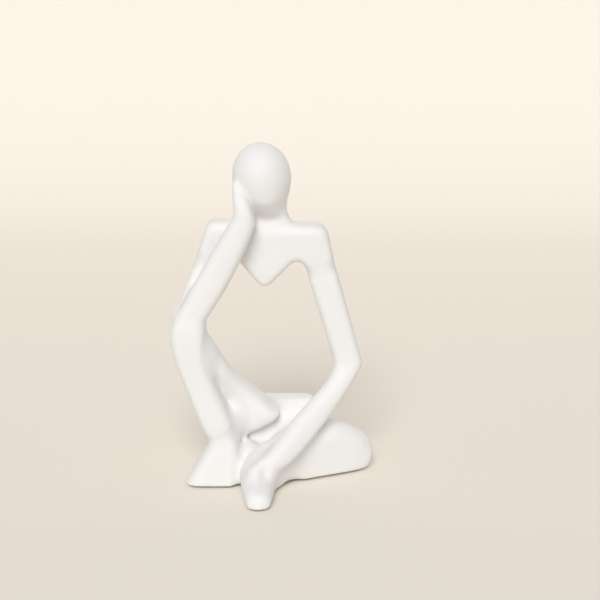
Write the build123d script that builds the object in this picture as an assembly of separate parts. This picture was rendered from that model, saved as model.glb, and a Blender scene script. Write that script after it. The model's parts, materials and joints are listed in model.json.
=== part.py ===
from build123d import *

import os

# Seated thinker ornament, cast in resin in sections that are pinned and glued together.
# Millimetres. +X is to the viewer's right, +Y to the figure's back, +Z up.
# Left and right in the names are the figure's own, so its right arm is at -X.
# Heights count from the floor. At the end the whole figure moves to put the origin
# at the bottom centre of its box.

# Floor pads and dowels
pad_thickness = 1.0
pad_diameter = 7.0
pin_diameter = 2.4
pin_length = 9.0
pin_clearance = 0.05

# Where the dowels lie, at the seams that have no joint face of their own
elbow_pin = (-25.4, -5.0, 71.0)
knee_rest_pin = (-27.8, -9.8, 66.0)
right_knee_pin = (-21.0, -2.6, 41.5)
left_knee_pin = (28.5, 14.2, 8.0)
right_hip_pin = (-5.5, 8.3, 22.3)
left_hip_pin = (20.5, 18.5, 10.0)
left_hand_pin = (0.9, -17.4, 10.5)

# Head: an egg on a short neck, leaning to the hand and nodding forward
head_width = 21.4
head_depth = 22.8
neck_width = 13.8
neck_to_widest = 15.5
crown_height = 12.4
head_lean = 9.0
head_nod = 12.0
neck_foot = (1.1, 3.4, 102.5)

# Chest: a plate with a pointed lower edge, drawn across and down from the middle of the shoulders
chest_thickness = 12.5
chest_edge = 2.8
chest_lean = 5.0
chest_roll = 2.5
shoulder_line = (0.4, 4.0, 99.9)
shoulder_half_span = 22.0
shoulder_corner = 4.5
armpit = (13.6, -10.4)
armpit_radius = 3.4
chest_point_drop = 25.6
chest_point_radius = 3.0
stub_outer = (26.2, -15.2)
stub_inner = (16.0, -18.2)
collar_width = 20.0
collar_depth = 9.0
collar_sink = 3.0

# Left arm, hanging beside the opening and reaching forward to the foot
left_elbow = (31.5, 6.0, 45.0)
left_arm_width = 10.0
left_arm_depth = 10.5
left_forearm_high = (25.6, 1.5, 34.4)
left_forearm_high_width = 8.4
left_forearm_middle = (17.8, -4.5, 26.2)
left_forearm_low = (9.8, -11.3, 18.4)
left_forearm_width = 9.6
left_forearm_depth = 9.5
left_fingers = (-6.4, -22.8, 8.8)
left_hand_width = 7.0
left_hand_depth = 5.0
left_hand_round = 3.6

# Right arm, with the elbow on the raised knee and the hand on the cheek
knee_top = (-27.9, -7.5, 66.0)
elbow_width = 10.8
elbow_depth = 12.0
right_elbow = (-27.8, -2.0, 68.0)
forearm_start = (-31.6, -7.5, 60.0)
forearm_start_width = 8.6
right_arm_width = 10.4
right_arm_depth = 11.0
right_forearm_middle = (-18.6, -8.0, 81.0)
right_forearm_width = 10.8
right_forearm_depth = 10.0
right_wrist = (-7.2, -8.0, 102.5)
right_wrist_width = 8.2
right_wrist_depth = 9.4
right_palm = (-8.6, -7.0, 108.4)
palm_width = 5.4
palm_depth = 9.5
right_knuckles = (-9.8, -6.0, 112.6)
knuckles_width = 3.4
knuckles_depth = 7.6
right_fingertips = (-10.7, -5.0, 116.0)
fingertips_width = 1.8
fingertips_depth = 5.0
fold_back = 4.4
fold_turn = 15.0

# Raised right leg
right_knee = (-28.5, -7.5, 55.0)
right_knee_width = 12.4
right_knee_depth = 13.0
right_shin_high = (-26.0, -7.0, 43.5)
right_shin_low = (-21.6, -6.6, 31.5)
right_shin_width = 10.8
right_shin_depth = 11.8
right_ankle = (-16.6, -6.0, 19.0)
right_ankle_width = 9.6
right_ankle_depth = 10.5
right_sole = (-19.2, -6.6)
right_sole_length = 23.6
right_sole_width = 13.6
right_sole_corner = 5.0
right_thigh_start = (-27.0, -5.5, 58.5)
right_thigh_start_width = 8.6
right_thigh_high = (-23.8, -3.2, 51.0)
right_thigh_middle = (-18.7, 0.2, 41.4)
right_thigh_width = 11.0
right_thigh_depth = 11.5
right_thigh_low = (-11.6, 4.6, 31.4)
right_thigh_low_width = 13.8
right_groin = (-8.8, 5.8, 25.5)
right_groin_width = 19.0
right_hip = (-5.6, 7.7, 19.8)
right_hip_width = 24.0
right_hip_depth = 14.0

# Folded left leg, lying on the floor
left_knee_tip = (41.0, 12.6)
left_knee_tip_width = 9.6
left_knee_tip_height = 11.0
left_knee_round = 5.5
left_knee = (35.0, 10.4)
left_knee_width = 13.0
left_knee_height = 15.5
left_shin_middle = (19.0, 4.0)
left_shin_width = 15.0
left_shin_height = 21.0
left_ankle = (5.0, -3.5)
left_ankle_width = 16.0
left_ankle_height = 16.0
left_instep = (-2.6, -15.5)
left_instep_width = 14.2
left_instep_height = 11.5
left_ball = (-2.6, -25.5)
left_ball_width = 11.0
left_ball_height = 7.5
left_toe = (-2.2, -35.2)
left_toe_width = 7.8
left_toe_height = 4.8
left_toe_round = 5.5
left_hip = (16.5, 15.8)
left_hip_width = 18.5
left_hip_height = 26.0
left_thigh_middle = (26.0, 15.5)
left_thigh_width = 16.0
left_thigh_height = 23.5
left_thigh_end = (38.5, 12.6)
left_thigh_end_width = 9.0
left_thigh_end_height = 12.0

# Pelvis: a dome that the legs grow out of
pelvis_middle = (3.0, 16.0)
pelvis_width = 34.0
pelvis_depth = 20.0
pelvis_corner = 9.0
pelvis_swell_height = 13.0
pelvis_swell = 1.5
pelvis_top_middle = (8.0, 16.5)
pelvis_top_width = 20.0
pelvis_top_depth = 8.0
pelvis_top_corner = 3.6
pelvis_height = 27.8
pelvis_top_edge = 1.6

# Rounding that all the limbs share
limb_corner = 3.6
fullest_corner = 0.46  # largest corner radius, as a share of a section's narrow side
floor_dip = 0.25  # share of a lying limb's height that is drawn under the floor, to be cut flat
tip_fullness = 1.45  # how far the egg that rounds a limb's end stands outside the end's section


def direction(start, end):
    return (Vector(*end) - Vector(*start)).normalized()


def section(centre, along, width, depth, corner=limb_corner):
    """Rounded rectangle across a limb. Its width lies in the front view."""
    across = Vector(0, 1, 0).cross(Vector(*along))
    plane = Plane(origin=centre, x_dir=across, z_dir=along)
    return plane * RectangleRounded(width, depth, min(corner, fullest_corner * min(width, depth)))


def standing(centre, along, width, height):
    """Rounded section of a limb that lies on the floor. It dips under the floor, to be cut flat."""
    dip = floor_dip * height
    level = Vector(along.X, along.Y, 0)
    middle = Vector(centre[0], centre[1], pad_thickness + (height - dip) / 2)
    plane = Plane(origin=middle, x_dir=Vector(0, 0, 1).cross(level), z_dir=level)
    return plane * RectangleRounded(width, height + dip, fullest_corner * min(width, height + dip))


def limb(*stations, across=section):
    """Loft through stations: each is a joint face, or a centre with a width and a depth or height."""
    centres = [Vector(*s[0]) if isinstance(s, tuple) else s.center() for s in stations]
    faces = []
    for index, station in enumerate(stations):
        if isinstance(station, tuple):
            before = centres[max(index - 1, 0)]
            after = centres[min(index + 1, len(stations) - 1)]
            station = across(station[0], after - before, *station[1:])
        faces.append(station)
    return loft(faces)


def floor_limb(*stations):
    return split(limb(*stations, across=standing), Plane.XY.offset(pad_thickness), Keep.TOP)


def round_tip(solid, before, tip, width, depth, length):
    """Trims the end of a limb to the nose of an egg, which starts length before the tip."""
    along = direction(before, tip)
    across = Vector(0, 0, 1).cross(along)
    place = Plane(origin=Vector(*tip) - along * length, x_dir=across, z_dir=along)
    egg = scale(Sphere(1), (tip_fullness * width / 2, tip_fullness * depth / 2, length))
    block = extrude(Rectangle(2 * width, 2 * depth), 2 * length)
    return solid - place * (block - egg)


def round_floor_tip(solid, before, tip, width, height, length):
    """Rounds the end of a limb that lies on the floor. The egg's middle is on the limb's underside."""
    before = (*before, pad_thickness)
    tip = (*tip, pad_thickness)
    return round_tip(solid, before, tip, width, 2 * height, length)


# Places, directions and joint faces that several pieces share
head_place = Pos(*neck_foot) * Rot(Y=-head_lean) * Rot(X=head_nod)
chest_place = Pos(*shoulder_line) * Rot(Y=chest_roll) * Rot(X=chest_lean)
knee_plane = Plane.XY.offset(knee_top[2])
fold_normal = Vector(0, 1, 0).rotate(Axis.Z, fold_turn)
fold_plane = Plane(origin=Vector(*right_forearm_middle) + fold_normal * fold_back, z_dir=fold_normal)


def stub_end(side):
    """End face of an arm stub, in the chest's frame: side is 1 for the left arm, -1 for the right."""
    outer = Vector(side * stub_outer[0], 0, stub_outer[1])
    inner = Vector(side * stub_inner[0], 0, stub_inner[1])
    across = outer - inner
    along = across.cross(Vector(0, side, 0))
    return section((outer + inner) / 2, along, across.length, chest_thickness, chest_edge)


def arm_joint(side):
    return chest_place * stub_end(side)


def left_elbow_joint():
    before = direction(arm_joint(1).center(), left_elbow)
    along = before + direction(left_elbow, left_forearm_high)
    stretch = along.length / along.dot(before)
    return section(left_elbow, along, left_arm_width * stretch, left_arm_depth)


def right_ankle_joint():
    along = direction(right_shin_low, right_ankle)
    return section(right_ankle, along, right_ankle_width, right_ankle_depth)


def left_ankle_joint():
    along = direction(left_shin_middle, left_ankle) + direction(left_ankle, left_instep)
    return standing(left_ankle, along, left_ankle_width, left_ankle_height)


def middle_and_normal(joint):
    return joint.center(), joint.face().normal_at()


def make_head():
    side = Spline((neck_width / 2, 0), (head_width / 2, neck_to_widest), tangents=[(0, 1), (0, 1)])
    crown = EllipticalCenterArc((0, neck_to_widest), head_width / 2, crown_height, 0, arc_size=90)
    axis = Polyline(crown @ 1, (0, 0), side @ 0)
    egg = revolve(Plane.XZ * make_face([side, crown, axis]), Axis.Z)
    return head_place * scale(egg, (1, head_depth / head_width, 1))


def make_torso():
    half = [
        (shoulder_half_span, 0, shoulder_corner),
        (*stub_outer, 0),
        (*stub_inner, 0),
        (*armpit, armpit_radius),
    ]
    corners = half + [(0, -chest_point_drop, chest_point_radius)] + [(-x, z, r) for x, z, r in half[::-1]]
    edge = FilletPolyline(*[(x, z) for x, z, r in corners], radius=[r for x, z, r in corners], close=True)
    plate = extrude(Plane.XZ * make_face(edge), chest_thickness / 2, both=True)
    ends = [plate.faces().sort_by_distance(stub_end(side).center())[0] for side in (1, -1)]
    rims = plate.faces().filter_by(Axis.Y).edges() - ShapeList(ends).edges()
    plate = chest_place * fillet(rims, chest_edge)
    collar_foot = chest_place * Pos(neck_foot[0], 0, -collar_sink) * RectangleRounded(
        collar_width, collar_depth, fullest_corner * collar_depth
    )
    neck_end = head_place * Ellipse(neck_width / 2, neck_width / 2 * head_depth / head_width)
    return plate + loft([collar_foot, neck_end])


def make_left_upper_arm():
    return limb(arm_joint(1), left_elbow_joint())


def make_left_forearm():
    forearm = limb(
        left_elbow_joint(),
        (left_forearm_high, left_forearm_high_width, left_forearm_depth),
        (left_forearm_middle, left_forearm_width, left_forearm_depth),
        (left_forearm_low, left_forearm_width, left_forearm_depth),
        (left_fingers, left_hand_width, left_hand_depth),
    )
    return round_tip(
        forearm, left_forearm_low, left_fingers, left_hand_width, left_hand_depth, left_hand_round
    )


def make_right_upper_arm():
    joint = arm_joint(-1)
    end = Vector(*right_elbow) + direction(joint.center(), right_elbow) * right_arm_width
    arm = limb(joint, (tuple(end), right_arm_width, right_arm_depth))
    arm = split(arm, knee_plane, Keep.TOP)
    return split(arm, fold_plane, Keep.TOP)


def make_right_forearm():
    along = Vector(*right_palm) - Vector(*right_forearm_middle)
    wrist = section(right_wrist, along, right_wrist_width, right_wrist_depth)
    forearm = limb(
        (forearm_start, forearm_start_width, elbow_depth),
        (right_forearm_middle, right_forearm_width, right_forearm_depth),
        wrist,
    )
    forearm = split(forearm, knee_plane, Keep.TOP)
    forearm = split(forearm, fold_plane, Keep.BOTTOM)
    hand = limb(
        wrist,
        (right_palm, palm_width, palm_depth),
        (right_knuckles, knuckles_width, knuckles_depth),
        (right_fingertips, fingertips_width, fingertips_depth),
    )
    return forearm + hand


def make_right_shin():
    return limb(
        section(knee_top, (0, 0, -1), elbow_width, elbow_depth),
        (right_knee, right_knee_width, right_knee_depth),
        (right_shin_high, right_shin_width, right_shin_depth),
        (right_shin_low, right_shin_width, right_shin_depth),
        right_ankle_joint(),
    )


def make_right_foot():
    underside = (*right_sole, pad_thickness)
    sole = section(underside, (0, 0, -1), right_sole_length, right_sole_width, right_sole_corner)
    return loft([right_ankle_joint(), sole])


def make_right_thigh():
    return limb(
        (right_thigh_start, right_thigh_start_width, right_thigh_depth),
        (right_thigh_high, right_thigh_width, right_thigh_depth),
        (right_thigh_middle, right_thigh_width, right_thigh_depth),
        (right_thigh_low, right_thigh_low_width, right_thigh_depth),
        (right_groin, right_groin_width, right_hip_depth),
        (right_hip, right_hip_width, right_hip_depth),
    )


def make_left_shin():
    shin = floor_limb(
        (left_knee_tip, left_knee_tip_width, left_knee_tip_height),
        (left_knee, left_knee_width, left_knee_height),
        (left_shin_middle, left_shin_width, left_shin_height),
        left_ankle_joint(),
    )
    return round_floor_tip(
        shin, left_knee, left_knee_tip, left_knee_tip_width, left_knee_tip_height, left_knee_round
    )


def make_left_foot():
    foot = floor_limb(
        left_ankle_joint(),
        (left_instep, left_instep_width, left_instep_height),
        (left_ball, left_ball_width, left_ball_height),
        (left_toe, left_toe_width, left_toe_height),
    )
    return round_floor_tip(
        foot, left_ball, left_toe, left_toe_width, left_toe_height, left_toe_round
    )


def make_left_thigh():
    return floor_limb(
        (left_hip, left_hip_width, left_hip_height),
        (left_thigh_middle, left_thigh_width, left_thigh_height),
        (left_thigh_end, left_thigh_end_width, left_thigh_end_height),
    )


def make_pelvis():
    swollen = (pelvis_width + 2 * pelvis_swell, pelvis_depth + 2 * pelvis_swell)
    dome = loft([
        Pos(*pelvis_middle, pad_thickness) * RectangleRounded(pelvis_width, pelvis_depth, pelvis_corner),
        Pos(*pelvis_middle, pelvis_swell_height) * RectangleRounded(*swollen, pelvis_corner),
        Pos(*pelvis_top_middle, pelvis_height)
        * RectangleRounded(pelvis_top_width, pelvis_top_depth, pelvis_top_corner),
    ])
    return fillet(dome.faces().sort_by(Axis.Z)[-1].edges(), pelvis_top_edge)


def make_castings():
    head = make_head()
    torso = make_torso()
    right_shin = make_right_shin()
    left_shin = make_left_shin()
    left_foot = make_left_foot()
    right_foot = make_right_foot() - left_foot
    dome = make_pelvis()
    return {
        "head": head,
        "torso": torso,
        "left_upper_arm": make_left_upper_arm(),
        "left_forearm": make_left_forearm() - left_shin - left_foot,
        "right_upper_arm": make_right_upper_arm(),
        "right_forearm": make_right_forearm() - torso - head,
        "pelvis": dome - right_shin - right_foot - left_shin - left_foot,
        "right_thigh": make_right_thigh() - right_shin - right_foot - left_shin - left_foot - dome,
        "right_shin": right_shin,
        "right_foot": right_foot,
        "left_thigh": make_left_thigh() - left_shin - dome,
        "left_shin": left_shin,
        "left_foot": left_foot,
    }


def pinned_seams():
    """Each glued seam: its pin's node, the two castings, the middle of the pin and its direction."""
    elbow = fold_plane.to_local_coords(Vector(*elbow_pin))
    fold_middle = fold_plane.from_local_coords((elbow.X, elbow.Y, 0))
    right_knee_way = direction(right_shin_high, right_thigh_middle)
    left_knee_way = direction(left_shin_middle, left_thigh_middle)
    return [
        ("neck_pin", "torso", "head", neck_foot, Plane(head_place).z_dir),
        ("shoulder_pins", "torso", "left_upper_arm", *middle_and_normal(arm_joint(1))),
        ("shoulder_pins", "torso", "right_upper_arm", *middle_and_normal(arm_joint(-1))),
        ("elbow_pins", "left_upper_arm", "left_forearm", *middle_and_normal(left_elbow_joint())),
        ("elbow_pins", "right_upper_arm", "right_forearm", fold_middle, fold_normal),
        ("elbow_pins", "right_forearm", "right_shin", knee_rest_pin, (0, 0, 1)),
        ("hip_pins", "pelvis", "right_thigh", right_hip_pin, direction(right_thigh_low, right_hip)),
        ("hip_pins", "pelvis", "left_thigh", left_hip_pin, direction(left_hip, left_thigh_middle)),
        ("knee_pins", "right_shin", "right_thigh", right_knee_pin, right_knee_way),
        ("knee_pins", "left_shin", "left_thigh", left_knee_pin, left_knee_way),
        ("ankle_pins", "right_shin", "right_foot", *middle_and_normal(right_ankle_joint())),
        ("ankle_pins", "left_shin", "left_foot", *middle_and_normal(left_ankle_joint())),
        ("hand_pin", "left_forearm", "left_foot", left_hand_pin, (0, 0, 1)),
    ]


def drill_and_pin(castings):
    """Drills both castings at each seam and returns the dowels, grouped by place."""
    pins = {}
    for node, first, second, place, along in pinned_seams():
        plane = Plane(origin=place, z_dir=along)
        hole = plane * Cylinder(pin_diameter / 2 + pin_clearance, pin_length + 2 * pin_clearance)
        castings[first] -= hole
        castings[second] -= hole
        pins.setdefault(node, []).append(plane * Cylinder(pin_diameter / 2, pin_length))
    return {node: Compound([pin.solid() for pin in group]) for node, group in pins.items()}


def make_floor_pads():
    places = [right_sole, left_ball, left_knee, pelvis_middle]
    pads = [Pos(*place, pad_thickness / 2) * Cylinder(pad_diameter / 2, pad_thickness) for place in places]
    return Compound([pad.solid() for pad in pads])


if __name__ == "__main__":
    pieces = make_castings()
    pieces.update(drill_and_pin(pieces))
    pieces["floor_pads"] = make_floor_pads()
    box = Compound([solid for piece in pieces.values() for solid in piece.solids()]).bounding_box()
    to_origin = Pos(-box.center().X, -box.center().Y, -box.min.Z)
    print("moved by", to_origin.position, "size", box.size)
    os.makedirs("parts", exist_ok=True)
    for name, piece in pieces.items():
        export_step(to_origin * piece, f"parts/{name}.step")
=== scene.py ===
import json
import math

import bmesh
import bpy
import numpy as np
from mathutils import Matrix, Vector
from mathutils.bvhtree import BVHTree


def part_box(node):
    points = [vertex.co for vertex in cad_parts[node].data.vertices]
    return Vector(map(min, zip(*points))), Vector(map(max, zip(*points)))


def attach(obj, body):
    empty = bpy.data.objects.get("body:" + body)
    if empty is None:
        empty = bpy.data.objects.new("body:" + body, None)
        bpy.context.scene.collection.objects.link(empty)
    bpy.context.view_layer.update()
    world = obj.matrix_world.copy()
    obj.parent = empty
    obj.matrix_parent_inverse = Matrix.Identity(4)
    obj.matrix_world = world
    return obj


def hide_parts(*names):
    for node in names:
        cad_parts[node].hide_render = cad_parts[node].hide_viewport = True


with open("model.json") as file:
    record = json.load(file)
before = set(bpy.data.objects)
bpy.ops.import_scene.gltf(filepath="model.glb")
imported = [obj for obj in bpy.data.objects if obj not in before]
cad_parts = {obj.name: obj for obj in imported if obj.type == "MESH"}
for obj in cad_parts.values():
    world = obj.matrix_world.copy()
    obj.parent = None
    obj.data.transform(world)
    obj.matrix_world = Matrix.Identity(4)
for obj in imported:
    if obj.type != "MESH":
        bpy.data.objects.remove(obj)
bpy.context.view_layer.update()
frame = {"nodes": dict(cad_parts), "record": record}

mm = 0.001
weldDistance = 0.002 * mm
nodes = frame["nodes"]
slotOf = {row["node"]: row["material_slot"] for row in frame["record"]["subparts"]}
castingNames = [name for name in slotOf if slotOf[name] == "cast_resin"]
dowelNames = [name for name in slotOf if slotOf[name] == "dowel_steel"]
print("frame:", len(castingNames), "castings and", len(dowelNames), "dowel nodes")


# Small helpers

def linkNew(name, data):
    piece = bpy.data.objects.new(name, data)
    bpy.context.scene.collection.objects.link(piece)
    return piece


def evaluatedMesh(piece):
    bpy.context.view_layer.update()
    graph = bpy.context.evaluated_depsgraph_get()
    return bpy.data.meshes.new_from_object(piece.evaluated_get(graph))


def readArray(items, field, width, kind=np.float64):
    values = np.empty(len(items) * width, kind)
    items.foreach_get(field, values)
    return values.reshape(-1, width) if width > 1 else values


def smoothStep(x):
    x = np.clip(x, 0.0, 1.0)
    return x * x * (3.0 - 2.0 * x)


def weldedCopy(name, height=1.0):  # height is a share of the part's own
    part = bmesh.new()
    part.from_mesh(nodes[name].data)
    bmesh.ops.remove_doubles(part, verts=part.verts, dist=weldDistance)
    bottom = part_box(name)[0][2]
    for vert in part.verts:
        vert.co.z = bottom + height * (vert.co.z - bottom)
    part.verts.index_update()
    part.normal_update()
    return part


def relax(values, edges, share, passes):  # each point moves its share of the way to its neighbours' middle
    first, second = edges[:, 0], edges[:, 1]
    count = len(values)
    degree = np.bincount(first, minlength=count) + np.bincount(second, minlength=count)
    for _ in range(passes):
        middle = np.empty_like(values)
        for axis in range(values.shape[1]):
            column = values[:, axis]
            total = np.bincount(first, column[second], count) + np.bincount(second, column[first], count)
            middle[:, axis] = total / np.maximum(degree, 1)
        values = values + share[:, None] * (middle - values)
    return values


def islandsOf(label, edges):  # the lowest point of each patch of one label stands for the patch
    same = edges[label[edges[:, 0]] == label[edges[:, 1]]]
    island = np.arange(len(label))
    while True:
        lowest = island.copy()
        np.minimum.at(lowest, same[:, 0], island[same[:, 1]])
        np.minimum.at(lowest, same[:, 1], island[same[:, 0]])
        lowest = lowest[lowest]
        if np.array_equal(lowest, island):
            return island
        island = lowest


# The white figure: the castings are filled and sanded to one skin, which is then parted at their seams

figure = {
    "voxel": 0.5 * mm,  # grain of the skin's mesh
    "fatten": 0.22 * mm,  # filler and paint, and what the sanding takes off again
    "stroke": 0.5,  # share of the way that a point moves in one pass
    "sanding": 24,  # smoothing passes over the whole skin
    "filling": 220,  # further passes where one casting flows into the next
    "seamReach": 8.0 * mm,  # no seam is felt further out than this
    "fade": 4.0 * mm,  # height over which a soft seam starts or ends
    "fillerBlend": 1.9,  # how far out a lump of filler is worked in, in its own half sizes
    "unevenness": 0.035 * mm,  # hand-sanded waviness
    "wavelength": 12.0 * mm,
    "creasePasses": 14,
    "creaseDepth": 0.10 * mm,  # a hollow or ridge this deep counts in full
    "seamPasses": 8,  # evens out the line of each seam
    "leastPatch": 250,  # smaller patches of a casting go to their neighbour
    "patchRounds": 3,
    "leastCut": 0.12,  # share of a triangle's side that a seam leaves at least, so that there are no slivers
}
lowered = {"left_thigh": 0.62}  # share of its height that a casting keeps: the shin hides this thigh
softSeams = [  # castings that flow into each other: between which heights and how far out, in mm
    ("torso", "left_upper_arm", 0.0, 130.0, 4.2),
    ("torso", "right_upper_arm", 0.0, 130.0, 4.2),
    ("left_forearm", "left_shin", 0.0, 130.0, 8.0),
    ("left_forearm", "left_foot", 0.0, 130.0, 6.5),
    ("left_foot", "left_shin", 0.0, 130.0, 6.5),
    ("left_foot", "pelvis", 0.0, 130.0, 5.0),
    ("left_shin", "pelvis", 0.0, 130.0, 4.2),
    ("left_shin", "left_thigh", 0.0, 130.0, 3.0),
    ("left_thigh", "pelvis", 0.0, 130.0, 4.2),
    ("right_thigh", "pelvis", 0.0, 130.0, 4.2),
    ("right_thigh", "right_shin", 50.0, 130.0, 5.0),
    ("right_thigh", "right_shin", 0.0, 27.0, 5.0),
    ("right_thigh", "right_foot", 0.0, 130.0, 5.0),
    ("right_thigh", "left_foot", 0.0, 130.0, 4.2),
    ("right_foot", "right_shin", 0.0, 130.0, 4.2),
    ("right_foot", "left_foot", 0.0, 130.0, 5.0),
    ("right_foot", "pelvis", 0.0, 130.0, 5.0),
]
fillers = [  # lumps of filler that close deep pockets: middle and half size, in mm
    {"spot": "betweenFeet", "place": (-11.3, 3.9, 9.8), "half": (5.4, 6.8, 5.8)},
    {"spot": "ankleFork", "place": (-15.6, 1.0, 22.0), "half": (3.6, 3.6, 6.5)},
    {"spot": "kneeFork", "place": (-25.0, -3.0, 51.5), "half": (4.0, 3.8, 6.0)},
]
handWork = [  # spots that are pulled out or pressed in by hand: where, how wide, and which way, in mm
    {"spot": "elbowTip", "place": (-36.5, -3.2, 67.2), "reach": (2.6, 2.6, 2.6), "push": (-1.3, 0.0, -0.2)},
    {"spot": "throat", "place": (-2.0, -0.8, 102.6), "reach": (8.0, 4.5, 3.6), "push": (0.0, 3.6, -0.4)},
    {"spot": "chin", "place": (-1.6, -5.0, 108.5), "reach": (6.0, 4.0, 4.0), "push": (0.0, -0.5, -1.0)},
    {"spot": "handDimple", "place": (-3.9, -19.0, 9.6), "reach": (2.0, 3.5, 4.0), "push": (0.0, 1.6, -0.3)},
    {"spot": "shinGrooveTop", "place": (-24.4, -1.7, 44.2), "reach": (2.2, 3.0, 5.0), "push": (0.2, 1.0, 0.0)},
    {"spot": "shinGroove", "place": (-21.6, -1.2, 37.8), "reach": (2.4, 3.0, 5.0), "push": (0.2, 1.2, 0.0)},
    {"spot": "shinGrooveEnd", "place": (-18.3, -0.2, 31.2), "reach": (2.2, 3.0, 4.0), "push": (0.2, 0.9, 0.0)},
    {"spot": "innerFoot", "place": (-12.8, -9.6, 5.0), "reach": (3.0, 3.0, 6.0), "push": (0.0, 1.8, 0.0)},
    {"spot": "kneeEnd", "place": (38.2, 15.5, 8.0), "reach": (3.0, 7.0, 4.0), "push": (0.7, 0.0, 0.0)},
    {"spot": "kneeCorner", "place": (38.2, 15.5, 1.5), "reach": (3.0, 8.0, 3.0), "push": (-1.2, 0.0, 0.6)},
]


def fusedSkin():
    lump = bmesh.new()
    for name in castingNames + dowelNames:
        part = weldedCopy(name, lowered.get(name, 1.0))
        for vert in part.verts:
            vert.co += vert.normal * figure["fatten"]
        mesh = bpy.data.meshes.new(name)
        part.to_mesh(mesh)
        part.free()
        lump.from_mesh(mesh)
        bpy.data.meshes.remove(mesh)
    for filler in fillers:
        place = Matrix.Translation(Vector(filler["place"]) * mm) @ Matrix.Diagonal((*filler["half"], 1.0))
        bmesh.ops.create_icosphere(lump, subdivisions=3, radius=mm, matrix=place)
    mesh = bpy.data.meshes.new("lump")
    lump.to_mesh(mesh)
    lump.free()
    piece = linkNew("lump", mesh)
    remesh = piece.modifiers.new("remesh", "REMESH")
    remesh.mode = "VOXEL"
    remesh.voxel_size = figure["voxel"]
    skin = evaluatedMesh(piece)
    bpy.data.objects.remove(piece)
    return skin


def distancesToCastings(points):
    reach = figure["seamReach"]
    table = np.full((len(points), len(castingNames)), reach)
    for index, name in enumerate(castingNames):
        part = weldedCopy(name, lowered.get(name, 1.0))
        tree = BVHTree.FromBMesh(part)
        part.free()
        low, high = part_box(name)
        near = np.all((points > np.array(low) - reach) & (points < np.array(high) + reach), axis=1)
        for row in np.flatnonzero(near):
            table[row, index] = min(tree.find_nearest(points[row])[3], reach)
    return table


def seamShare(points):
    table = distancesToCastings(points)
    share = np.zeros(len(points))
    for first, second, low, high, reach in softSeams:
        total = table[:, castingNames.index(first)] + table[:, castingNames.index(second)]
        within = np.minimum(points[:, 2] - low * mm, high * mm - points[:, 2]) / figure["fade"]
        share = np.maximum(share, smoothStep(within + 1.0) * smoothStep(1.0 - total / (reach * mm)))
    for filler in fillers:
        away = np.linalg.norm((points / mm - filler["place"]) / filler["half"], axis=1)
        share = np.maximum(share, smoothStep(figure["fillerBlend"] - away))
    return share


def sandedWaves(points):  # a few crossing waves, so that no surface is machine-flat
    height = np.zeros(len(points))
    ways = [(0.9, 0.3, 0.4), (-0.4, 0.8, 0.5), (0.2, -0.6, 0.8), (0.7, 0.7, -0.3), (-0.5, 0.2, -0.9)]
    for turn, way in enumerate(ways):
        length = figure["wavelength"] * (0.7 + 0.2 * turn)
        height += np.sin(points @ np.array(way) * math.tau / length + 1.7 * turn)
    return figure["unevenness"] * height / len(ways)


def sculptSkin(mesh):
    points = readArray(mesh.vertices, "co", 3)
    edges = readArray(mesh.edges, "vertices", 2, np.int32)
    points = relax(points, edges, np.full(len(points), figure["stroke"]), figure["sanding"])
    points = relax(points, edges, figure["stroke"] * seamShare(points), figure["filling"])
    for spot in handWork:
        away = (points / mm - spot["place"]) / spot["reach"]
        points = points + np.exp(-np.sum(away ** 2, axis=1))[:, None] * np.array(spot["push"]) * mm
    mesh.vertices.foreach_set("co", points.ravel())
    mesh.update()
    points = points + readArray(mesh.vertex_normals, "vector", 3) * sandedWaves(points)[:, None]
    mesh.vertices.foreach_set("co", points.ravel())
    mesh.update()


def readSkin(mesh):  # a row is place, normal, crease and edge
    mesh.calc_loop_triangles()
    points = readArray(mesh.vertices, "co", 3)
    normals = readArray(mesh.vertex_normals, "vector", 3)
    edges = readArray(mesh.edges, "vertices", 2, np.int32)
    triangles = readArray(mesh.loop_triangles, "vertices", 3, np.int32)
    evened = relax(points, edges, np.full(len(points), figure["stroke"]), figure["creasePasses"])
    hollow = np.sum((evened - points) * normals, axis=1) / figure["creaseDepth"]
    rows = np.column_stack([points, normals, smoothStep(hollow), smoothStep(-hollow)])
    return rows, edges, triangles


def castingOfPoint(table, edges):
    label = table.argmin(axis=1)
    for _ in range(figure["patchRounds"]):
        island = islandsOf(label, edges)
        small = np.bincount(island, minlength=len(label))[island] < figure["leastPatch"]
        table[small, label[small]] += figure["seamReach"]
        label = table.argmin(axis=1)
    return label


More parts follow.
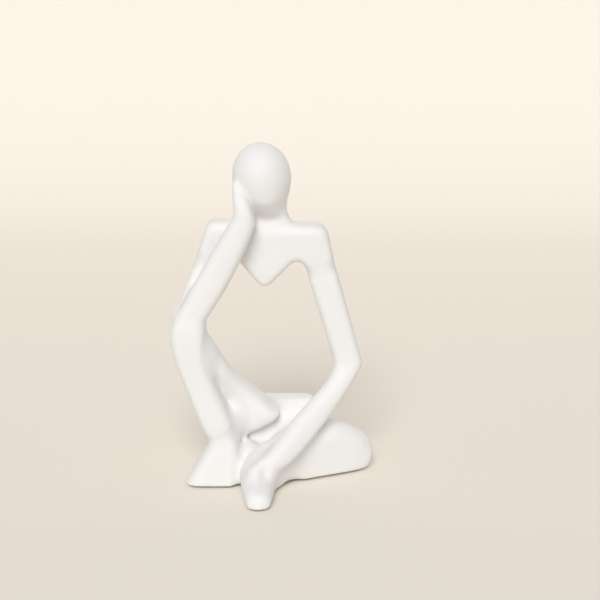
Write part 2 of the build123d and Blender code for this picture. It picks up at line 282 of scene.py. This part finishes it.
def partAtSeams(rows, edges, triangles):
    table = distancesToCastings(rows[:, :3])
    table = relax(table, edges, np.full(len(rows), figure["stroke"]), figure["seamPasses"])
    label = castingOfPoint(table, edges)
    extra = []
    onEdge = {}
    faces = [[] for _ in castingNames]

    def addPoint(row):
        extra.append(row)
        return len(rows) + len(extra) - 1

    def seamPoint(first, second):
        key = (min(first, second), max(first, second))
        if key not in onEdge:
            low, high = key
            lowLead = table[low, label[high]] - table[low, label[low]]
            highLead = table[high, label[low]] - table[high, label[high]]
            share = lowLead / max(lowLead + highLead, 1e-9)
            share = np.clip(share, figure["leastCut"], 1.0 - figure["leastCut"])
            onEdge[key] = addPoint(rows[low] * (1.0 - share) + rows[high] * share)
        return onEdge[key]

    corners = label[triangles]
    whole = (corners[:, 0] == corners[:, 1]) & (corners[:, 1] == corners[:, 2])
    for triangle in triangles[~whole].tolist():
        owners = [label[point] for point in triangle]
        if len(set(owners)) == 3:
            centre = addPoint(rows[triangle].mean(axis=0))
            for turn in range(3):
                before, point, after = triangle[turn - 1], triangle[turn], triangle[(turn + 1) % 3]
                faces[owners[turn]].append((point, seamPoint(point, after), centre))
                faces[owners[turn]].append((point, centre, seamPoint(before, point)))
            continue
        odd = next(turn for turn in range(3) if owners.count(owners[turn]) == 1)
        point, after, before = triangle[odd], triangle[(odd + 1) % 3], triangle[odd - 1]
        right, left = seamPoint(point, after), seamPoint(before, point)
        faces[owners[odd]].append((point, right, left))
        faces[label[after]].append((right, after, before))
        faces[label[after]].append((right, before, left))

    allRows = np.vstack([rows, extra])
    parted = {}
    for index, name in enumerate(castingNames):
        own = np.vstack([triangles[whole & (corners[:, 0] == index)], np.array(faces[index]).reshape(-1, 3)])
        used, local = np.unique(own, return_inverse=True)
        parted[name] = allRows[used], local.reshape(-1, 3)
    return parted


# Glue faces close each casting where it was parted from its neighbours, out of sight

glueFace = {
    "grain": 1.2 * mm,  # longest side of its triangles
    "rounds": 6,
    "stroke": 0.7,
    "passes": 60,
    "depth": 0.35 * mm,  # at least this far under the skin
}


def addGlueFaces(part, skinTree):
    rim = {edge for edge in part.edges if edge.is_boundary}
    filled = bmesh.ops.holes_fill(part, edges=list(rim), sides=0)["faces"]
    for face in filled:
        face.material_index = 1
        corner = face.loops[0]
        other = corner.link_loop_radial_next
        if other.vert == corner.vert:
            face.normal_flip()
    bmesh.ops.triangulate(part, faces=filled)
    for _ in range(glueFace["rounds"]):
        caps = [face for face in part.faces if face.material_index == 1]
        inner = {edge for face in caps for edge in face.edges} - rim
        coarse = [edge for edge in part.edges if edge in inner and edge.calc_length() > glueFace["grain"]]
        if not coarse:
            break
        bmesh.ops.subdivide_edges(part, edges=coarse, cuts=1)
        caps = [face for face in part.faces if face.material_index == 1]
        bmesh.ops.triangulate(part, faces=[face for face in caps if len(face.verts) > 3])
    part.verts.index_update()
    caps = [face for face in part.faces if face.material_index == 1]
    edges = sorted({tuple(sorted(v.index for v in edge.verts)) for face in caps for edge in face.edges})
    inside = np.array([all(face.material_index == 1 for face in vert.link_faces) for vert in part.verts])
    points = np.array([vert.co for vert in part.verts])
    if edges:
        points = relax(points, np.array(edges), glueFace["stroke"] * inside, glueFace["passes"])
    part.verts.ensure_lookup_table()
    for index in np.flatnonzero(inside):
        place = Vector(points[index])
        onSkin, normal, _, _ = skinTree.find_nearest(place)
        if (onSkin - place).dot(normal) < glueFace["depth"]:
            place = onSkin - normal * glueFace["depth"]
        part.verts[index].co = place


def castingMesh(name, rows, faces, skinTree):
    mesh = bpy.data.meshes.new(name)
    mesh.from_pydata(rows[:, :3].tolist(), [], faces.tolist())
    part = bmesh.new()
    part.from_mesh(mesh)
    addGlueFaces(part, skinTree)
    openEdges = sum(edge.is_boundary for edge in part.edges)
    part.to_mesh(mesh)
    part.free()
    if openEdges:
        print("open edges on", name, openEdges)
    padding = np.zeros((len(mesh.vertices) - len(rows), rows.shape[1]))
    rows = np.vstack([rows, padding])
    corner = readArray(mesh.loops, "vertex_index", 1, np.int32)
    ofFace = np.arange(len(corner)) // 3
    capped = (readArray(mesh.polygons, "material_index", 1, np.int32) == 1)[ofFace]
    flat = readArray(mesh.polygon_normals, "vector", 3)[ofFace]
    normals = np.where(capped[:, None], flat, rows[corner, 3:6])
    mesh.polygons.foreach_set("material_index", np.zeros(len(mesh.polygons), np.int32))
    mesh.polygons.foreach_set("use_smooth", np.ones(len(mesh.polygons), bool))
    # crease masks the painted shade with dust in the resin; edge masks the lighter tone on convex edges
    for column, field in ((6, "crease"), (7, "edge")):
        values = rows[:, column].astype(np.float32)
        mesh.attributes.new(field, "FLOAT", "POINT").data.foreach_set("value", values)
    mesh.normals_split_custom_set(normals.tolist())
    return mesh


# Finishes

resin = {
    "paintLow": (0.855, 0.852, 0.848),
    "paintHigh": (0.885, 0.882, 0.878),
    "dustAndShade": (0.78, 0.765, 0.74),  # painted shade in the creases, with the dust that settles there
    "dustAndShadeShare": 0.35,
    "convexEdgeTone": (0.90, 0.898, 0.894),  # lighter on the convex edges
    "convexEdgeShare": 0.5,
    "roughness": (0.50, 0.64),
    "specular": 0.35,
    "blotchScale": 55.0,
    "grainScale": 1900.0,
    "grainHeight": 0.02 * mm,
}
steel = {
    "dark": (0.50, 0.50, 0.52),
    "bright": (0.66, 0.66, 0.68),
    "roughness": (0.26, 0.42),
    "blotchScale": 220.0,
    "grainScale": 4200.0,
    "grainHeight": 0.006 * mm,
}
felt = {
    "dark": (0.70, 0.69, 0.66),
    "bright": (0.86, 0.85, 0.82),
    "roughness": (0.90, 0.98),
    "sheen": 0.3,
    "blotchScale": 300.0,
    "grainScale": 3600.0,
    "grainHeight": 0.12 * mm,
}


def addNode(tree, kind, settings=None, values=None):
    node = tree.nodes.new(kind)
    for field, value in (settings or {}).items():
        setattr(node, field, value)
    for socket, value in (values or {}).items():
        node.inputs[socket].default_value = value
    return node


def makeMottle():
    tree = bpy.data.node_groups.new("mottle", "ShaderNodeTree")
    for name in ("Blotch Scale", "Grain Scale"):
        tree.interface.new_socket(name, in_out="INPUT", socket_type="NodeSocketFloat")
    for name in ("Blotch", "Grain"):
        tree.interface.new_socket(name, in_out="OUTPUT", socket_type="NodeSocketFloat")
    inlet = tree.nodes.new("NodeGroupInput")
    outlet = tree.nodes.new("NodeGroupOutput")
    place = tree.nodes.new("ShaderNodeTexCoord")
    for name, detail in (("Blotch", 3.0), ("Grain", 2.0)):
        noise = addNode(tree, "ShaderNodeTexNoise", values={"Detail": detail, "Roughness": 0.55})
        tree.links.new(place.outputs["Object"], noise.inputs["Vector"])
        tree.links.new(inlet.outputs[name + " Scale"], noise.inputs["Scale"])
        tree.links.new(noise.outputs["Fac"], outlet.inputs[name])
    return tree


mottle = makeMottle()


def mixColours(tree, share, first, second):  # share is a socket, and so is first if it isn't a colour
    mix = addNode(tree, "ShaderNodeMix", {"data_type": "RGBA"})
    tree.links.new(share, mix.inputs["Factor"])
    for socket, colour in (("A", first), ("B", second)):
        colourSocket = next(i for i in mix.inputs if i.name == socket and i.type == "RGBA")
        if isinstance(colour, tuple):
            colourSocket.default_value = (*colour, 1.0)
        else:
            tree.links.new(colour, colourSocket)
    return next(o for o in mix.outputs if o.type == "RGBA")


def startFinish(name, finish):  # shader with mottled roughness and a fine grain
    material = bpy.data.materials.new(name)
    material.use_nodes = True
    tree = material.node_tree
    shader = tree.nodes["Principled BSDF"]
    texture = addNode(tree, "ShaderNodeGroup", {"node_tree": mottle})
    texture.inputs["Blotch Scale"].default_value = finish["blotchScale"]
    texture.inputs["Grain Scale"].default_value = finish["grainScale"]
    low, high = finish["roughness"]
    span = addNode(tree, "ShaderNodeMapRange", values={"To Min": low, "To Max": high})
    tree.links.new(texture.outputs["Blotch"], span.inputs["Value"])
    tree.links.new(span.outputs["Result"], shader.inputs["Roughness"])
    bump = addNode(tree, "ShaderNodeBump", values={"Strength": 0.6, "Distance": finish["grainHeight"]})
    tree.links.new(texture.outputs["Grain"], bump.inputs["Height"])
    tree.links.new(bump.outputs["Normal"], shader.inputs["Normal"])
    return material, tree, shader, texture


def attributeShare(tree, field, most):
    source = addNode(tree, "ShaderNodeAttribute", {"attribute_name": field})
    scale = addNode(tree, "ShaderNodeMath", {"operation": "MULTIPLY"}, {1: most})
    tree.links.new(source.outputs["Fac"], scale.inputs[0])
    return scale.outputs[0]


def makeResin():
    material, tree, shader, texture = startFinish("matteWhiteResin", resin)
    colour = mixColours(tree, texture.outputs["Blotch"], resin["paintLow"], resin["paintHigh"])
    # lighter on the convex edges
    colour = mixColours(tree, attributeShare(tree, "edge", resin["convexEdgeShare"]), colour, resin["convexEdgeTone"])
    # darker in the creases: painted shade, with dust
    colour = mixColours(tree, attributeShare(tree, "crease", resin["dustAndShadeShare"]), colour, resin["dustAndShade"])
    tree.links.new(colour, shader.inputs["Base Color"])
    shader.inputs["Specular IOR Level"].default_value = resin["specular"]
    return material


def makeSteel():
    material, tree, shader, texture = startFinish("drawnSteel", steel)
    colour = mixColours(tree, texture.outputs["Blotch"], steel["dark"], steel["bright"])
    tree.links.new(colour, shader.inputs["Base Color"])
    shader.inputs["Metallic"].default_value = 1.0
    return material


def makeFelt():
    material, tree, shader, texture = startFinish("pressedFelt", felt)
    colour = mixColours(tree, texture.outputs["Grain"], felt["dark"], felt["bright"])
    tree.links.new(colour, shader.inputs["Base Color"])
    shader.inputs["Sheen Weight"].default_value = felt["sheen"]
    return material


# The castings and their dowels

skin = fusedSkin()
sculptSkin(skin)
print("skin:", len(skin.vertices), "points")
skinRows, skinEdges, skinTriangles = readSkin(skin)
skinTree = BVHTree.FromPolygons(skinRows[:, :3].tolist(), skinTriangles.tolist())
resinMaterial = makeResin()
for name, (rows, faces) in partAtSeams(skinRows, skinEdges, skinTriangles).items():
    mesh = castingMesh(name + "_casting", rows, faces, skinTree)
    mesh.materials.append(resinMaterial)
    casting = linkNew(name + "_casting", mesh)
    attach(casting, "root")
    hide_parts(name)
    print("casting:", name, len(mesh.polygons), "faces")
bpy.data.meshes.remove(skin)

steelMaterial = makeSteel()
for name in dowelNames:
    for materialSlot in nodes[name].material_slots:
        materialSlot.material = steelMaterial
print("dowels:", len(dowelNames), "nodes in steel")


# Felt pads: rounded discs on the middles of the plain ones

pads = {
    "node": "floor_pads",
    "squareness": 0.30,  # 1 is an egg, 0 a sharp disc
    "segments": 56,
    "rings": 24,
    "fill": 0.9,
}


def padPlaces():
    part = weldedCopy(pads["node"])
    points = np.array([vert.co for vert in part.verts])
    edges = np.array([[vert.index for vert in edge.verts] for edge in part.edges])
    part.free()
    island = islandsOf(np.zeros(len(points), int), edges)
    groups = [points[island == one] for one in np.unique(island)]
    boxes = [(group.min(axis=0), group.max(axis=0)) for group in groups]
    return [(low + high) / 2 for low, high in boxes], boxes[0][1] - boxes[0][0]


def mathNode(tree, operation, first, second=None):
    node = addNode(tree, "ShaderNodeMath", {"operation": operation})
    for index, value in enumerate((first, second)):
        if isinstance(value, float):
            node.inputs[index].default_value = value
        elif value is not None:
            tree.links.new(value, node.inputs[index])
    return node.outputs[0]


def padTree(material):
    tree = bpy.data.node_groups.new("feltPads", "GeometryNodeTree")
    tree.interface.new_socket("Geometry", in_out="INPUT", socket_type="NodeSocketGeometry")
    for name in ("Radius", "Half Thickness", "Squareness"):
        tree.interface.new_socket(name, in_out="INPUT", socket_type="NodeSocketFloat")
    for name in ("Segments", "Rings"):
        tree.interface.new_socket(name, in_out="INPUT", socket_type="NodeSocketInt")
    tree.interface.new_socket("Geometry", in_out="OUTPUT", socket_type="NodeSocketGeometry")
    inlet = tree.nodes.new("NodeGroupInput")
    outlet = tree.nodes.new("NodeGroupOutput")
    ball = tree.nodes.new("GeometryNodeMeshUVSphere")
    ball.inputs["Radius"].default_value = 1.0
    tree.links.new(inlet.outputs["Segments"], ball.inputs["Segments"])
    tree.links.new(inlet.outputs["Rings"], ball.inputs["Rings"])
    spread = addNode(tree, "ShaderNodeSeparateXYZ")
    tree.links.new(tree.nodes.new("GeometryNodeInputPosition").outputs["Position"], spread.inputs[0])
    x, y, z = spread.outputs
    power = inlet.outputs["Squareness"]
    squares = [mathNode(tree, "MULTIPLY", side, side) for side in (x, y)]
    across = mathNode(tree, "MAXIMUM", mathNode(tree, "SQRT", mathNode(tree, "ADD", *squares)), 0.0001)
    widen = mathNode(tree, "POWER", across, mathNode(tree, "SUBTRACT", power, 1.0))
    widen = mathNode(tree, "MULTIPLY", widen, inlet.outputs["Radius"])
    rise = mathNode(tree, "POWER", mathNode(tree, "ABSOLUTE", z), power)
    rise = mathNode(tree, "MULTIPLY", rise, mathNode(tree, "SIGN", z))
    shaped = addNode(tree, "ShaderNodeCombineXYZ")
    tree.links.new(mathNode(tree, "MULTIPLY", x, widen), shaped.inputs[0])
    tree.links.new(mathNode(tree, "MULTIPLY", y, widen), shaped.inputs[1])
    tree.links.new(mathNode(tree, "MULTIPLY", rise, inlet.outputs["Half Thickness"]), shaped.inputs[2])
    move = tree.nodes.new("GeometryNodeSetPosition")
    tree.links.new(ball.outputs["Mesh"], move.inputs["Geometry"])
    tree.links.new(shaped.outputs[0], move.inputs["Position"])
    smooth = tree.nodes.new("GeometryNodeSetShadeSmooth")
    tree.links.new(move.outputs["Geometry"], smooth.inputs["Geometry"])
    repeat = tree.nodes.new("GeometryNodeInstanceOnPoints")
    tree.links.new(inlet.outputs["Geometry"], repeat.inputs["Points"])
    tree.links.new(smooth.outputs["Geometry"], repeat.inputs["Instance"])
    real = tree.nodes.new("GeometryNodeRealizeInstances")
    tree.links.new(repeat.outputs["Instances"], real.inputs["Geometry"])
    dress = addNode(tree, "GeometryNodeSetMaterial", values={"Material": material})
    tree.links.new(real.outputs["Geometry"], dress.inputs["Geometry"])
    tree.links.new(dress.outputs["Geometry"], outlet.inputs["Geometry"])
    return tree


def makePads():
    places, size = padPlaces()
    seeds = bpy.data.meshes.new("padPlaces")
    seeds.from_pydata([tuple(place) for place in places], [], [])
    holder = linkNew("padPlaces", seeds)
    tree = padTree(makeFelt())
    modifier = holder.modifiers.new("pads", "NODES")
    modifier.node_group = tree
    values = {
        "Radius": float(size[0] / 2),
        "Half Thickness": float(size[2] / 2),
        "Squareness": pads["squareness"],
        "Segments": pads["segments"],
        "Rings": pads["rings"],
    }
    for socket in tree.interface.items_tree:
        if socket.name in values:
            modifier[socket.identifier] = values[socket.name]
    mesh = evaluatedMesh(holder)
    bpy.data.objects.remove(holder)
    piece = linkNew("felt_pads", mesh)
    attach(piece, "root")
    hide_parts(pads["node"])
    print("pads:", len(places), "discs,", len(mesh.polygons), "faces")


makePads()


# Floor, light and camera

stage = {
    "floorTint": (0.90, 0.845, 0.765),
    "floorRoughness": 0.85,
    "halfWidth": 2.4,
    "front": -1.6,
    "back": 0.55,  # where the floor starts to curve up
    "curve": 0.40,
    "wallTop": 1.6,
    "curveSteps": 24,
    "worldTint": (0.985, 0.99, 1.0),
    "worldStrength": 0.36,
}
key = {
    "from": (-0.08, -0.78, 0.62),  # a broad, even light from the front and above
    "softness": 28.0,  # degrees across
    "strength": 1.95,
    "tint": (1.0, 0.995, 0.985),
}
view = {
    "place": (9.560 * mm, -390.600 * mm, 159.732 * mm),
    "tiltDown": 12.7,
    "focalPixels": 1072.0,
    "imagePixels": 600.0,
    "sensorWidth": 36.0,
    "nearest": 0.01,
}


def makeFloor():
    curve = stage["curve"]
    profile = [(stage["front"], 0.0)]
    for step in range(stage["curveSteps"] + 1):
        turn = math.pi / 2 * step / stage["curveSteps"]
        profile.append((stage["back"] + curve * math.sin(turn), curve * (1.0 - math.cos(turn))))
    profile.append((profile[-1][0], stage["wallTop"]))
    points = [(side * stage["halfWidth"], y, z) for y, z in profile for side in (-1, 1)]
    faces = [(2 * i, 2 * i + 1, 2 * i + 3, 2 * i + 2) for i in range(len(profile) - 1)]
    mesh = bpy.data.meshes.new("floor")
    mesh.from_pydata(points, [], faces)
    mesh.polygons.foreach_set("use_smooth", np.ones(len(faces), bool))
    material = bpy.data.materials.new("paleFloor")
    material.use_nodes = True
    shader = material.node_tree.nodes["Principled BSDF"]
    shader.inputs["Base Color"].default_value = (*stage["floorTint"], 1.0)
    shader.inputs["Roughness"].default_value = stage["floorRoughness"]
    mesh.materials.append(material)
    linkNew("floor", mesh)


def makeWorld():
    world = bpy.data.worlds.new("studio")
    bpy.context.scene.world = world
    world.use_nodes = True
    background = world.node_tree.nodes["Background"]
    background.inputs["Color"].default_value = (*stage["worldTint"], 1.0)
    background.inputs["Strength"].default_value = stage["worldStrength"]


def makeKey():
    lamp = bpy.data.lights.new("key", "SUN")
    lamp.angle = math.radians(key["softness"])
    lamp.energy = key["strength"]
    lamp.color = key["tint"]
    holder = linkNew("key", lamp)
    holder.location = key["from"]
    holder.rotation_euler = Vector(key["from"]).to_track_quat("Z", "Y").to_euler()


def makeCamera():
    camera = bpy.data.cameras.new("camera")
    camera.sensor_width = view["sensorWidth"]
    camera.lens = camera.sensor_width * view["focalPixels"] / view["imagePixels"]
    camera.clip_start = view["nearest"]
    holder = linkNew("camera", camera)
    holder.location = view["place"]
    holder.rotation_euler = (math.radians(90.0 - view["tiltDown"]), 0.0, 0.0)
    bpy.context.scene.camera = holder


makeFloor()
makeWorld()
makeKey()
makeCamera()
bpy.context.scene.view_settings.view_transform = "Standard"
print("stage: floor, world, key and camera")
